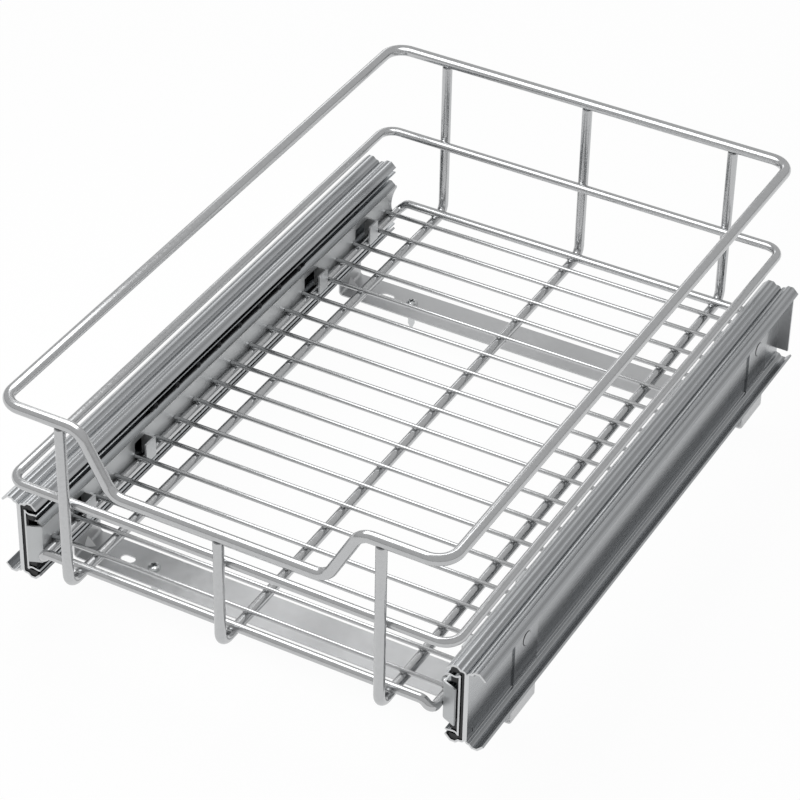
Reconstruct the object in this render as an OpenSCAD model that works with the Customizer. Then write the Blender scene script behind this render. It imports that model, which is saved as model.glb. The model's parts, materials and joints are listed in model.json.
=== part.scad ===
// Pull-out wire basket on two ball-bearing slides, for the floor of a cabinet.
// The frame is in millimetres: X across the basket, Y towards the back of the cabinet, Z up.
// Its origin is on the underside of the brackets, at the middle of the four mounting slots.
// The model is drawn with the basket pushed in.

/* [Slides] */
// Length of the slides, front to back
slide_len = 350; // [320:10:400]
// Distance between the two planes where a spacer channel and a slide meet back to back
slide_span = 241.3; // [236:0.1:300]
// Height of the slides' middle above the underside of the brackets
slide_z = 45; // [40:0.5:60]
// Thickness of the outer rail's and the spacer channel's sheet
channel_t = 1.1; // [0.9:0.1:1.2]
// Length of the ball cages
cage_len = 150; // [100:10:180]
// Number of balls in each row of a cage
balls_per_row = 8; // [4:1:9]

/* [Basket] */
// Diameter of the top rim's wire
rim_d = 5.8; // [5:0.1:6.5]
// Height of the top rim's middle
rim_z = 136.6; // [120:0.5:180]
// Width of the top rim between the wire's middles
rim_w = 233; // [220:0.5:234]
// Depth of the hand dip at the front of the rim
dip_depth = 31.6; // [15:0.2:40]
// Diameter of the three U-shaped wires
u_wire_d = 5.4; // [4.6:0.1:6]
// Distance from the middle U-shaped wire to each of the other two
u_wire_pitch = 83.8; // [70:0.1:90]
// Height of the middle of the U-shaped wires' floor run
u_wire_z = 40.6; // [39:0.1:42]
// Diameter of the middle ring's and the bottom ring's wire
ring_d = 4.8; // [4:0.1:5]
// Height of the middle ring
middle_ring_z = 87.1; // [75:0.1:100]
// Diameter of the thin floor wires
floor_wire_d = 2.4; // [2:0.1:2.6]
// Number of thin floor wires
floor_wires = 19; // [10:1:19]

/* [Brackets] */
// Width of the two cross brackets, front to back
bracket_w = 23.4; // [20:0.2:30]
// Distance from the front of the slides to the middle of the front bracket
front_bracket_y = 56.5; // [45:0.1:70]
// Distance from the back of the slides to the middle of the rear bracket
rear_bracket_y = 29.6; // [25:0.1:70]
// Distance between the two mounting slots of a bracket
slot_span = 196; // [180:0.5:200]
// Length of a mounting slot, across the basket
slot_len = 8; // [6:0.1:12]
// Width of a mounting slot
slot_w = 5; // [4:0.1:6]
// Distance between the two wood screws of a bracket
screw_span = 165.4; // [120:0.2:170]

/* [Hidden] */
$fn = 48;
touch = 0.05;
// Depth of a cut that only has to pass through
through = 20;
// Extra diameter of the small rounds that close each joint between a straight run and a bend
joint_swell = 0.02;
joint_len = 0.3;
// The front ends of the slides, from the middle of the brackets. Lengths along the slides and
// the basket start there.
bracket_ys = [front_bracket_y, slide_len - rear_bracket_y];
slides_y = -(bracket_ys[0] + bracket_ys[1]) / 2;

// Slide section. u runs from the back-to-back plane towards the basket, h up from the middle.
member_t = 1.0;
flange_h = 21.5;
bend_r = 1.5;
outer_ball = [6.0, 19.4];
outer_ball_r = 2.4;
inner_ball = [9.2, 14.35];
inner_ball_r = 1.95;
race_gap = 0.1;
outer_race_r = outer_ball_r + race_gap + channel_t / 2;
middle_cup_r = outer_ball_r + race_gap + member_t / 2;
middle_hump_r = inner_ball_r + race_gap + member_t / 2;
race_slope = 45;
cup_overlap = 8;
hump_end = 69;
lip_u = 10.0;
spacer_race_u = 5.2;
spacer_lip_u = 9.4;
middle_web_u = 3.5;
inner_web_u = 10.7;
inner_web_h = 10.0;
inner_slope_u = 8.7;
inner_flange_h = inner_ball[1] - inner_ball_r - race_gap - member_t / 2;
inner_flange_u = 5.5;
inner_front_y = 2.2;

// Cages and stops
outer_cage_web = [1.7, 2.4];
outer_cage_flange_u = 8.2;
outer_cage_t = 0.7;
inner_cage_web = [4.5, 5.1];
inner_cage_flange_u = 10.9;
inner_cage_t = 0.6;
cage_y = slide_len / 2;
ball_inset = 5;
ball_pitch = (cage_len - 2 * ball_inset) / (balls_per_row - 1);
stop_y = 0.5;
stop_len = 7.5;
outer_stop_web_t = 1.45;
outer_stop_h = 18.5;
outer_stop_top = 20.2;
outer_stop_u = 4;
middle_stop_web_t = 0.9;
middle_stop_h = 15.4;
middle_stop_arm = [4, 2.7];

// Carrier plate with its hooks
plate_u = inner_web_u + member_t / 2;
plate_face_u = plate_u + member_t;
plate_low = -11.8;
plate_high = 10;
plate_front_y = 1.6;
plate_end_y = slide_len - 2;
inner_len = plate_end_y - inner_front_y;
plate_flange = [4.8, -1.2];
plate_bevel = 1.2;
hook_y = [37.1, 90.7, slide_len - 89.3, slide_len - 34.7];
hook_window = [9, 9, 13.5, 13.5];
window_low = -9;
window_high = 7;
hook_low = -4.4;
hook_stem_low = -0.9;
hook_len = 8.5;
end_notch_r = 8;
end_notch_h = 1;

// Spacer channel details
end_tab_w = 6.5;
end_tab_low = -17;
end_tab_high = 15;
slit_y = 5;
slit_h = 16.8;
slit_size = [1.2, 2.6];

// Basket
weld = 0.1;
side_wire_x = slide_span / 2 - plate_face_u - ring_d / 2 - 0.05;
basket_front = -13.8;
basket_back = slide_len + 7;
rim_corner_r = 10.5;
dip_top_x = 73.5;
dip_low_x = 56.3;
dip_bend_r = 10;
ring_inset = (u_wire_d + ring_d) / 2 - 2 * weld;
ring_half_w = 117.9;
ring_corner_r = 8.5;
u_bend_r = 7;
bottom_ring_z = u_wire_z + (u_wire_d + ring_d) / 2 - weld;
bottom_ring_y = [-4.6, slide_len - 2.7];
side_wire_z = u_wire_z + 0.4;
corner_r = 4;
floor_wire_ends = [9.1, slide_len - 13.93];
floor_wire_z = u_wire_z + (u_wire_d + floor_wire_d) / 2 - weld;
floor_wire_half = slide_span / 2 - plate_face_u - 0.15;

// Brackets with their rivets and screws
plate_t = 0.8;
fold_r = 2.0;
bracket_half = slide_span / 2 + channel_t + plate_t / 2;
bracket_top = 60;
slot_gap = 0.3;
rivet_z = 45;
rivet_r = 2;
rivet_fit = 0.02;
rivet_head_r = 3.6;
rivet_head_t = 0.3;
gusset_size = 5;
screw_r = 1.9;
screw_hole_r = 2.3;
screw_head_r = 3.25;
screw_head_h = 2.4;
screw_len = 17.5;
screw_tip = 5;
screw_crown = [0.85, 0.75];
screw_top = 0.5;
cross_w = 0.9;
cross_len = 3.6;
cross_depth = 1.5;

function unit(v) = v / norm(v);
function across(v) = unit(cross(v, abs(unit(v)[2]) < 0.9 ? [0, 0, 1] : [1, 0, 0]));

// ---- Helpers for sheet sections ----

module strip(p, q, t) {
    side = [p[1] - q[1], q[0] - p[0]] * t / 2 / norm(q - p);
    polygon([p + side, q + side, q - side, p - side]);
}

module arc_strip(c, r, t, a0, a1) {
    reach = 3 * r;
    steps = [for (i = [0 : 3]) a0 + (a1 - a0) * i / 3];
    translate(c) intersection() {
        difference() {
            circle(r + t / 2);
            circle(r - t / 2);
        }
        polygon(concat([[0, 0]], [for (a = steps) reach * [cos(a), sin(a)]]));
    }
}

// A round over a joint between strips
module joint(p, t) {
    translate(p) circle(d = t + joint_swell);
}

module both_halves() {
    children();
    mirror([0, 1]) children();
}

module extrude_y(y0, len) {
    translate([0, y0 + len, 0]) rotate([90, 0, 0]) linear_extrude(height = len) children();
}

module from_front() {
    translate([0, slides_y, 0]) children();
}

module on_left() {
    translate([-slide_span / 2, slides_y, slide_z]) children();
}

module on_right() {
    mirror([1, 0, 0]) on_left() children();
}

// A box given by its ranges in u, y and h
module block(u, y, h) {
    translate([u[0], y[0], h[0]]) cube([u[1] - u[0], y[1] - y[0], h[1] - h[0]]);
}

// ---- Helpers for bent wire ----

module placed(o, x, y, z) {
    multmatrix([
        [x[0], y[0], z[0], o[0]],
        [x[1], y[1], z[1], o[1]],
        [x[2], y[2], z[2], o[2]],
        [0, 0, 0, 1]
    ]) children();
}

module straight_wire(p, q, d) {
    z = unit(q - p);
    x = across(z);
    placed(p, x, cross(z, x), z) cylinder(h = norm(q - p), d = d);
}

// Distance from a corner to where a bend of radius r begins
function bend_reach(a, b, c, r) = r / tan(acos(unit(a - b) * unit(c - b)) / 2);

module bent_wire(a, b, c, r, d) {
    ua = unit(a - b);
    uc = unit(c - b);
    turn = acos(ua * uc);
    centre = b + unit(ua + uc) * r / sin(turn / 2);
    x = unit(b + ua * r / tan(turn / 2) - centre);
    z = unit(cross(uc, ua));
    placed(centre, x, cross(z, x), z) rotate_extrude(angle = 180 - turn) translate([r, 0]) circle(d = d);
}

// A short collar over the joint between a straight run and a bend
module wire_joint(p, dir, d) {
    half = joint_len * dir / 2;
    straight_wire(p - half, p + half, d + joint_swell);
}

// A wire along straight runs between corners; radii gives the bend at each corner, 0 at an end
module wire_path(points, radii, d, closed) {
    n = len(points);
    last = closed ? n - 1 : n - 2;
    reach = [for (i = [0 : n - 1]) radii[i] == 0 ? 0
        : bend_reach(points[(i + n - 1) % n], points[i], points[(i + 1) % n], radii[i])];
    for (i = [0 : last]) {
        p = points[i];
        q = points[(i + 1) % n];
        dir = unit(q - p);
        run_start = p + dir * reach[i];
        run_end = q - dir * reach[(i + 1) % n];
        straight_wire(run_start, run_end, d);
        if (reach[i] > 0) wire_joint(run_start, dir, d);
        if (reach[(i + 1) % n] > 0) wire_joint(run_end, dir, d);
    }
    for (i = [0 : n - 1]) {
        if (radii[i] > 0) bent_wire(points[(i + n - 1) % n], points[i], points[(i + 1) % n], radii[i], d);
    }
}

// ---- Fixed sheet parts ----

// Height of the flat part of a channel's web above its middle
channel_web_h = flange_h - channel_t / 2 - bend_r;

// The flat web of a rail, drawn from u0 outwards by its thickness
module web(u0, t, y0, len, half_h) {
    block([u0, u0 + t], [y0, y0 + len], [-half_h, half_h]);
}

// Half of a channel beyond its web: bent corner, flange, and a race with a sloping lip. The race's
// flat top and its two slopes touch the same circle round the ball.
module channel_half(race_u, end_u) {
    mid = channel_t / 2;
    flange_mid = flange_h - mid;
    web_top = [mid, channel_web_h];
    flange_start = [mid + bend_r, flange_mid];
    race_h = outer_ball[1] + outer_race_r;
    race_half = outer_race_r * tan(race_slope / 2);
    path = [
        flange_start,
        [race_u - race_half - (race_h - flange_mid) / tan(race_slope), flange_mid],
        [race_u - race_half, race_h],
        [race_u + race_half, race_h],
        [end_u, race_h - (end_u - race_u - race_half) * tan(race_slope)]
    ];
    joint(web_top, channel_t);
    arc_strip([flange_start[0], web_top[1]], bend_r, channel_t, 90, 180);
    for (i = [1 : len(path) - 1]) {
        joint(path[i - 1], channel_t);
        strip(path[i - 1], path[i], channel_t);
    }
}

module rivet_holes() {
    for (y = bracket_ys) {
        translate([0, y, rivet_z - slide_z]) rotate([0, 90, 0])
            cylinder(h = through, r = rivet_r, center = true);
    }
}

module spacer_channel() {
    color("#b4b7b8") difference() {
        union() {
            extrude_y(0, slide_len) mirror([1, 0]) both_halves() channel_half(spacer_race_u, spacer_lip_u);
            web(-channel_t, channel_t, 0, slide_len, channel_web_h);
            block([-channel_t - end_tab_w, -channel_t / 2], [slide_len - channel_t, slide_len],
                [end_tab_low, end_tab_high]);
        }
        for (y = bracket_ys) {
            block([-channel_t - plate_t - slot_gap, -channel_t],
                [y - bracket_w / 2 - slot_gap, y + bracket_w / 2 + slot_gap],
                [-flange_h - channel_t, -flange_h / 2]);
        }
        for (h = [-slit_h, slit_h]) {
            block([-2 * channel_t, channel_t], [slit_y, slit_y + slit_size[0]],
                [h - slit_size[1] / 2, h + slit_size[1] / 2]);
        }
        rivet_holes();
    }
}

module outer_rail() {
    color("#a9adae") difference() {
        union() {
            extrude_y(0, slide_len) both_halves() channel_half(outer_ball[0], lip_u);
            web(0, channel_t, 0, slide_len, channel_web_h);
        }
        rivet_holes();
    }
}

module outer_stop() {
    u = channel_t + touch;
    color("#1d1e20") union() {
        block([u, u + outer_stop_web_t], [stop_y, stop_y + stop_len], [-outer_stop_h, outer_stop_h]);
        extrude_y(stop_y, stop_len) both_halves() {
            translate([u, outer_stop_h - touch]) square([outer_stop_u - u, outer_stop_top - outer_stop_h]);
            intersection() {
                translate(outer_ball) circle(outer_ball_r);
                translate([outer_stop_u - 1, outer_stop_h + touch]) square(3 * outer_ball_r);
            }
        }
    }
}

// ---- Telescoping members ----

module middle_rail() {
    cup = outer_ball;
    hump = inner_ball;
    gap_dir = hump - cup;
    lean = atan2(gap_dir[1], gap_dir[0]) - acos((middle_cup_r + middle_hump_r) / norm(gap_dir));
    cup_end = cup + middle_cup_r * [cos(lean), sin(lean)];
    hump_start = hump - middle_hump_r * [cos(lean), sin(lean)];
    web_angle = 180 + acos((cup[0] - middle_web_u) / middle_cup_r);
    web_top = cup[1] + middle_cup_r * sin(web_angle);
    color("#9da1a3") union() {
        extrude_y(0, slide_len) both_halves() {
            arc_strip(cup, middle_cup_r, member_t, web_angle - cup_overlap, lean + 360);
            joint(cup_end, member_t);
            strip(cup_end, hump_start, member_t);
            joint(hump_start, member_t);
            arc_strip(hump, middle_hump_r, member_t, hump_end, lean + 180);
        }
        web(middle_web_u - member_t / 2, member_t, 0, slide_len, web_top);
    }
}

module middle_stop() {
    web_u = middle_web_u + member_t / 2;
    arm = middle_stop_arm;
    color("#1d1e20") union() {
        block([web_u, web_u + middle_stop_web_t], [stop_y, stop_y + stop_len],
            [-middle_stop_h, middle_stop_h]);
        extrude_y(stop_y, stop_len) both_halves() translate([web_u, middle_stop_h - arm[1]]) square(arm);
    }
}

// The inner rail's flanges slope down to its web behind the carrier plate
module inner_rail() {
    web_top = [inner_web_u, inner_web_h];
    slope_start = [inner_slope_u, inner_flange_h];
    color("#a4a8aa") difference() {
        union() {
            extrude_y(inner_front_y, inner_len) both_halves() {
                joint(web_top, member_t);
                strip(web_top, slope_start, member_t);
                joint(slope_start, member_t);
                strip(slope_start, [inner_flange_u, inner_flange_h], member_t);
            }
            web(inner_web_u - member_t / 2, member_t, inner_front_y, inner_len, inner_web_h);
        }
        plate_cuts();
    }
}

// The hooks' windows and the round notch in the back end, through the plate and the web behind it
module plate_cuts() {
    u0 = inner_web_u - member_t;
    u1 = plate_face_u + member_t;
    for (i = [0 : len(hook_y) - 1]) {
        block([u0, u1], [hook_y[i] - hook_window[i], hook_y[i]], [window_low, window_high]);
    }
    translate([u0, slide_len, end_notch_h]) rotate([0, 90, 0]) cylinder(h = u1 - u0, r = end_notch_r);
}

// The plate on the inner rail, with a flange that slants forwards at its front end. Its hooks stand
// out below the windows they are cut from.
module carrier_plate() {
    hook_face = slide_span / 2 - side_wire_x + ring_d / 2 + touch;
    bend = [plate_u + member_t / 2, plate_front_y];
    color("#b0b3b5") {
        difference() {
            union() {
                block([plate_u, plate_face_u], [plate_front_y, plate_end_y], [plate_low, plate_high]);
                translate([0, 0, plate_low]) linear_extrude(height = plate_high - plate_low) {
                    joint(bend, member_t);
                    strip(bend, plate_flange, member_t);
                }
            }
            plate_cuts();
            translate([plate_face_u, 0, plate_low]) rotate([0, 45, 0])
                cube([plate_bevel, 2 * slit_y, plate_bevel], center = true);
        }
        for (y = hook_y) {
            block([plate_u, hook_face + member_t], [y, y + member_t], [hook_stem_low, window_high]);
            block([hook_face, hook_face + member_t], [y + member_t - hook_len, y + member_t],
                [hook_low, window_high]);
        }
    }
}

// ---- Ball cages ----

module ball_positions(ball) {
    for (i = [0 : balls_per_row - 1], s = [-1, 1]) {
        translate([ball[0], cage_y - cage_len / 2 + ball_inset + i * ball_pitch, s * ball[1]]) children();
    }
}

module cage(web, flange_u, ball, ball_r, t) {
    difference() {
        extrude_y(cage_y - cage_len / 2, cage_len) both_halves() {
            translate([web[0], -touch]) square([web[1] - web[0], ball[1] + t / 2 + touch]);
            translate([web[0], ball[1] - t / 2]) square([flange_u - web[0], t]);
        }
        ball_positions(ball) cylinder(h = 2 * ball_r, r = ball_r + race_gap / 2, center = true);
    }
}

module outer_cage() {
    color("#2a2b2d") cage(outer_cage_web, outer_cage_flange_u, outer_ball, outer_ball_r, outer_cage_t);
}

module outer_balls() {
    color("#d8dadb") ball_positions(outer_ball) sphere(r = outer_ball_r);
}

module inner_cage() {
    color("#2a2b2d") cage(inner_cage_web, inner_cage_flange_u, inner_ball, inner_ball_r, inner_cage_t);
}

module inner_balls() {
    color("#d8dadb") ball_positions(inner_ball) sphere(r = inner_ball_r);
}

// ---- Basket ----

module top_rim() {
    w = rim_w / 2;
    low = rim_z - dip_depth;
    points = [
        [w, basket_back, rim_z], [-w, basket_back, rim_z],
        [-w, basket_front, rim_z], [-dip_top_x, basket_front, rim_z], [-dip_low_x, basket_front, low],
        [dip_low_x, basket_front, low], [dip_top_x, basket_front, rim_z], [w, basket_front, rim_z]
    ];
    c = rim_corner_r;
    b = dip_bend_r;
    color("#c3c6c7") from_front() wire_path(points, [c, c, c, b, b, b, b, c], rim_d, true);
}

module middle_ring() {
    w = ring_half_w;
    front = basket_front + ring_inset;
    back = basket_back - ring_inset;
    z = middle_ring_z;
    c = ring_corner_r;
    color("#c3c6c7") from_front()
        wire_path([[w, back, z], [-w, back, z], [-w, front, z], [w, front, z]], [c, c, c, c], ring_d, true);
}

// One end of the bottom ring, which slopes down to the side wire at each corner
function bottom_end(y) = [
    [-side_wire_x, y, side_wire_z],
    [-side_wire_x + bottom_ring_z - side_wire_z, y, bottom_ring_z],
    [side_wire_x - bottom_ring_z + side_wire_z, y, bottom_ring_z],
    [side_wire_x, y, side_wire_z]
];

module bottom_ring() {
    back = bottom_end(bottom_ring_y[1]);
    points = concat(bottom_end(bottom_ring_y[0]), [for (i = [3 : -1 : 0]) back[i]]);
    color("#bfc2c3") from_front() wire_path(points, [for (p = points) corner_r], ring_d, true);
}

module u_wire(x, front_top) {
    points = [
        [x, basket_front, front_top], [x, basket_front, u_wire_z],
        [x, basket_back, u_wire_z], [x, basket_back, rim_z - rim_d / 2 + weld]
    ];
    color("#bcbfc0") from_front() wire_path(points, [0, u_bend_r, u_bend_r, 0], u_wire_d, false);
}

module left_u_wire() {
    u_wire(-u_wire_pitch, rim_z - rim_d / 2 + weld);
}

module centre_u_wire() {
    u_wire(0, rim_z - dip_depth - rim_d / 2 + weld);
}

module right_u_wire() {
    u_wire(u_wire_pitch, rim_z - rim_d / 2 + weld);
}

module floor_cross_wires() {
    pitch = (floor_wire_ends[1] - floor_wire_ends[0]) / (floor_wires - 1);
    color("#c8cbcc") from_front() for (i = [0 : floor_wires - 1]) {
        y = floor_wire_ends[0] + i * pitch;
        straight_wire([-floor_wire_half, y, floor_wire_z], [floor_wire_half, y, floor_wire_z], floor_wire_d);
    }
}

// ---- Brackets ----

module bracket_section() {
    mid = plate_t / 2;
    base_end = [bracket_half - fold_r, mid];
    side_start = [bracket_half, mid + fold_r];
    strip([-base_end[0], mid], base_end, plate_t);
    for (s = [0, 1]) {
        mirror([s, 0]) {
            joint(base_end, plate_t);
            arc_strip([base_end[0], side_start[1]], fold_r, plate_t, 270, 360);
            joint(side_start, plate_t);
            strip(side_start, [bracket_half, bracket_top], plate_t);
        }
    }
}

module slot(len, w) {
    for (s = [-1, 1]) {
        translate([s * (len - w) / 2, 0, 0]) cylinder(h = through, d = w, center = true);
    }
    cube([len - w, w, through], center = true);
}

// A dart pressed into a fold: a square bar on edge, from the base up to the upright end at x
module gusset(x) {
    g = gusset_size;
    intersection() {
        translate([x - g / 2, 0, plate_t + g / 2]) rotate([0, 45, 0]) rotate([0, 0, -45])
            translate([0, 0, -g]) cube([g, g, 2 * g]);
        block([x - g, x + touch], [-g, g], [plate_t - touch, plate_t + g]);
    }
}

module bracket(y) {
    color("#b9bcbe") from_front() translate([0, y, 0]) {
        difference() {
            extrude_y(-bracket_w / 2, bracket_w) bracket_section();
            for (s = [-1, 1]) {
                translate([s * slot_span / 2, 0, 0]) slot(slot_len, slot_w);
                translate([s * screw_span / 2, 0, 0])
                    cylinder(h = through, r = screw_hole_r, center = true);
                translate([s * bracket_half, 0, rivet_z]) rotate([0, 90, 0])
                    cylinder(h = through, r = rivet_r, center = true);
            }
        }
        for (s = [0, 1]) {
            mirror([s, 0, 0]) gusset(bracket_half - plate_t / 2);
        }
    }
}

module front_bracket() {
    bracket(bracket_ys[0]);
}

module rear_bracket() {
    bracket(bracket_ys[1]);
}

module rivet() {
    inboard = -2 * channel_t - plate_t;
    rotate([0, 90, 0]) rotate_extrude() polygon([
        [0, inboard], [rivet_r - rivet_fit, inboard], [rivet_r - rivet_fit, 0],
        [rivet_head_r, 0], [rivet_head_r, rivet_head_t / 2],
        [rivet_head_r - rivet_head_t / 2, rivet_head_t], [0, rivet_head_t]
    ]);
}

module bracket_rivets() {
    face = bracket_half + plate_t / 2;
    color("#c0c3c5") from_front() for (y = bracket_ys, s = [0, 1]) {
        mirror([s, 0, 0]) translate([face, y, rivet_z]) rivet();
    }
}

module screw() {
    difference() {
        rotate_extrude() polygon([
            [0, -screw_len], [screw_r, screw_tip - screw_len], [screw_r, 0],
            [screw_head_r, 0], [screw_head_r, screw_head_h / 3],
            [screw_head_r * screw_crown[0], screw_head_h * screw_crown[1]],
            [screw_head_r * screw_top, screw_head_h], [0, screw_head_h]
        ]);
        for (a = [0, 90]) {
            rotate([0, 0, a]) translate([-cross_len / 2, -cross_w / 2, screw_head_h - cross_depth])
                cube([cross_len, cross_w, 2 * cross_depth]);
        }
    }
}

module bracket_screws() {
    color("#d2d4d5") from_front() for (y = bracket_ys, s = [-1, 1]) {
        translate([s * screw_span / 2, y, plate_t]) screw();
    }
}

// ---- One module per sided sub-part ----

module left_spacer_channel() on_left() spacer_channel();
module right_spacer_channel() on_right() spacer_channel();
module left_outer_rail() on_left() outer_rail();
module right_outer_rail() on_right() outer_rail();
module left_outer_stop() on_left() outer_stop();
module right_outer_stop() on_right() outer_stop();
module left_outer_cage() on_left() outer_cage();
module right_outer_cage() on_right() outer_cage();
module left_outer_balls() on_left() outer_balls();
module right_outer_balls() on_right() outer_balls();
module left_middle_rail() on_left() middle_rail();
module right_middle_rail() on_right() middle_rail();
module left_middle_stop() on_left() middle_stop();
module right_middle_stop() on_right() middle_stop();
module left_inner_cage() on_left() inner_cage();
module right_inner_cage() on_right() inner_cage();
module left_inner_balls() on_left() inner_balls();
module right_inner_balls() on_right() inner_balls();
module left_inner_rail() on_left() inner_rail();
module right_inner_rail() on_right() inner_rail();
module left_carrier_plate() on_left() carrier_plate();
module right_carrier_plate() on_right() carrier_plate();

left_spacer_channel();
right_spacer_channel();
left_outer_rail();
right_outer_rail();
left_outer_stop();
right_outer_stop();
left_outer_cage();
right_outer_cage();
left_outer_balls();
right_outer_balls();
left_middle_rail();
right_middle_rail();
left_middle_stop();
right_middle_stop();
left_inner_cage();
right_inner_cage();
left_inner_balls();
right_inner_balls();
left_inner_rail();
right_inner_rail();
left_carrier_plate();
right_carrier_plate();
top_rim();
middle_ring();
bottom_ring();
left_u_wire();
centre_u_wire();
right_u_wire();
floor_cross_wires();
front_bracket();
rear_bracket();
bracket_rivets();
bracket_screws();
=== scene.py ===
"""Finishes the pull-out cabinet basket and sets it on a plain pale stage."""

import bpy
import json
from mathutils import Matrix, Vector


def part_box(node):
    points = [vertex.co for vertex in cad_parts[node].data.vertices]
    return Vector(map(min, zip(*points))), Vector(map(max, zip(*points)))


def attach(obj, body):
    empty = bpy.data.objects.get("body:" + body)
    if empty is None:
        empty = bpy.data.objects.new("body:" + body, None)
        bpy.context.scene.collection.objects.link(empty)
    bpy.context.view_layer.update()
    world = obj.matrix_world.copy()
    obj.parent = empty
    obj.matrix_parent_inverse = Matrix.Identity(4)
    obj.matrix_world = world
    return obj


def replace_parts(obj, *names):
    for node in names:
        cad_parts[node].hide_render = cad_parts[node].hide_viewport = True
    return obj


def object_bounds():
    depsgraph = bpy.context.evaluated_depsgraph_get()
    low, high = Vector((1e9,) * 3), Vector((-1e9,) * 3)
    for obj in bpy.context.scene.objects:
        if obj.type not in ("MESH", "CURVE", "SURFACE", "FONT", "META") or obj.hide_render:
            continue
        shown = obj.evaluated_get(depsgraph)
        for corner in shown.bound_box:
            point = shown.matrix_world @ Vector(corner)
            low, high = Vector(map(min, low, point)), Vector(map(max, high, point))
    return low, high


bl_info = {
    "name": "Pull-out cabinet basket",
    "version": (1, 0, 0),
    "blender": (4, 5, 0),
    "location": "3D View > Sidebar > Basket",
    "description": "Bends the basket's wires, finishes the slides and sets the stage",
    "category": "Object",
}

import json
import math

import bmesh
import bpy
from bpy.props import FloatProperty, FloatVectorProperty, IntProperty, PointerProperty
from mathutils import Matrix, Vector

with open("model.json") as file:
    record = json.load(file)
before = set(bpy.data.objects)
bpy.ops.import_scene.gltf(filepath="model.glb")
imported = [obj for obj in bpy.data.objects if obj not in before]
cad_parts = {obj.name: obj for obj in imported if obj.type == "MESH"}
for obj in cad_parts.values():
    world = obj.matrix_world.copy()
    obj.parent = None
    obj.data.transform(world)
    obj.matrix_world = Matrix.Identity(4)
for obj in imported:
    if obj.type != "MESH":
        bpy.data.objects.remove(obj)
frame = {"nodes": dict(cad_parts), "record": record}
CAD_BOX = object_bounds()
SLOTS = {part["node"]: part["material_slot"] for part in frame["record"]["subparts"]}

MM = 0.001
SIDES = ("left", "right")
U_WIRES = ("left_u_wire", "centre_u_wire", "right_u_wire")
# The parts of each slide: rolled sections, whose edges are eased, and the others
ROLLED_PARTS = ("spacer_channel", "outer_rail", "middle_rail", "inner_rail")
FITTED_PARTS = (
    "outer_stop",
    "outer_cage",
    "outer_balls",
    "middle_stop",
    "inner_cage",
    "inner_balls",
)
# Two crossing wires are pressed this far into each other where they are welded.
WELD_DEPTH = 0.1 * MM
# Half sizes of the beads, in shares of the crossing wire's radius: under a floor wire, beside
# an upright wire and on top of a U-wire's floor run
FLOOR_BEAD = (0.9, 0.85, 0.42)
SIDE_BEAD = (0.8, 0.3, 0.75)
FOOT_BEAD = (0.75, 0.75, 0.3)
# Degrees that each step of a bend turns, or a little less in a short bend
BEND_STEP = 6
FEWEST_BEND_STEPS = 4
# Share of a wire's diameter that the burr's removal takes off its cut end
BURR_SHARE = 0.08
# Doubled verts where a closed wire meets its start lie within this distance.
MERGE_DISTANCE = 0.002 * MM
# How far the edges of the rolled sections and of the carrier plates are eased, and the angle
# from which an edge of a CAD node is eased
RAIL_EASE = 0.2 * MM
PLATE_EASE = 0.15 * MM
EASED_ANGLE = math.radians(50)
# The angle from which an edge of a new piece is shaded as sharp
SHARP_ANGLE = math.radians(40)
# Sizes of the finishes' patterns, in millimetres. Zinc is rolled out along the slides, so its
# lines and its clouds have a second size that way. Real grains, roll lines and hairlines are
# ten times finer, so they are drawn as coarse as they need to show.
WIRE_CLOUD, WIRE_GRAIN = 9, 0.9
ROLL_LINE, ROLL_LINE_LENGTH = 0.8, 260
ZINC_CLOUD, ZINC_CLOUD_LENGTH = 14, 60
SATIN_CLOUD, SATIN_GRAIN = 22, 0.7
GREASE_FILM = 5
HAIRLINE = 1.2
SPARK_GRAIN = 0.5
# Distance between two ribs of a rolled section, in millimetres
RIB_PITCH = 2.41
# A wave texture draws a band for each turn of 20 units, so this scale gives one per unit.
BAND_SCALE = math.tau / 20
# How deep the ribs and the finishes' grains are
RIB_DEPTH = 0.14 * MM
METAL_GRAIN_DEPTH = 0.02 * MM
PLASTIC_GRAIN_DEPTH = 0.03 * MM
# Roughness of the rolled channels, which the brackets' upright ends share
CHANNEL_ROUGHNESS = 0.24
# Roughness of the middle and the inner rails
MEMBER_ROUGHNESS = 0.26
# A face whose normal lies this much along the slide is a sheared end.
SHEARED_FACING = 0.95
# How much rougher a sheared end is than the faces
SHEARED_DULLNESS = 0.2
# The satin zinc's chromate film hides a part of the metal.
SATIN_METALLIC = 0.8
# The brackets' upright ends begin this far inside the brackets' ends.
UPRIGHT_DEPTH = 3 * MM
# Thickness of a rivet's head
RIVET_HEAD = 0.3 * MM
# Half the thickness of the painted shade ring round a rivet's head
SHADE_RING_RADIUS = 0.22 * MM
# Half the floor's width, and how far it lies under the lowest point of the object
FLOOR_HALF_WIDTH = 12.0
FLOOR_GAP = 0.05 * MM
# Share of the floor's own white in what the camera sees of it; the rest is its shading.
FLOOR_WHITE = 0.955
# Brightness of the room at the foot of its walls and from a quarter of its height up
ROOM_LOW, ROOM_HIGH, ROOM_HEIGHT = 0.4, 0.67, 0.25
# Watts that give one square metre of an area lamp the brightness of the white floor
WHITE_WATTS = 4
# Each soft box: its place, the point it is aimed at, its two sides, and its brightness
SOFT_BOXES = {
    "Overhead soft box": ((-0.13, -0.05, 0.41), (-0.13, -0.05, 0.0), (0.3, 0.35), 2.4),
    "Back soft box": ((-0.95, 1.15, 0.6), (0.0, 0.0, 0.06), (0.35, 0.3), 1.3),
}
# Sockets of a colour mix node, which has several of one name
MIX_FACTOR, MIX_FIRST, MIX_SECOND, MIX_RESULT = 0, 6, 7, 2


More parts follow.
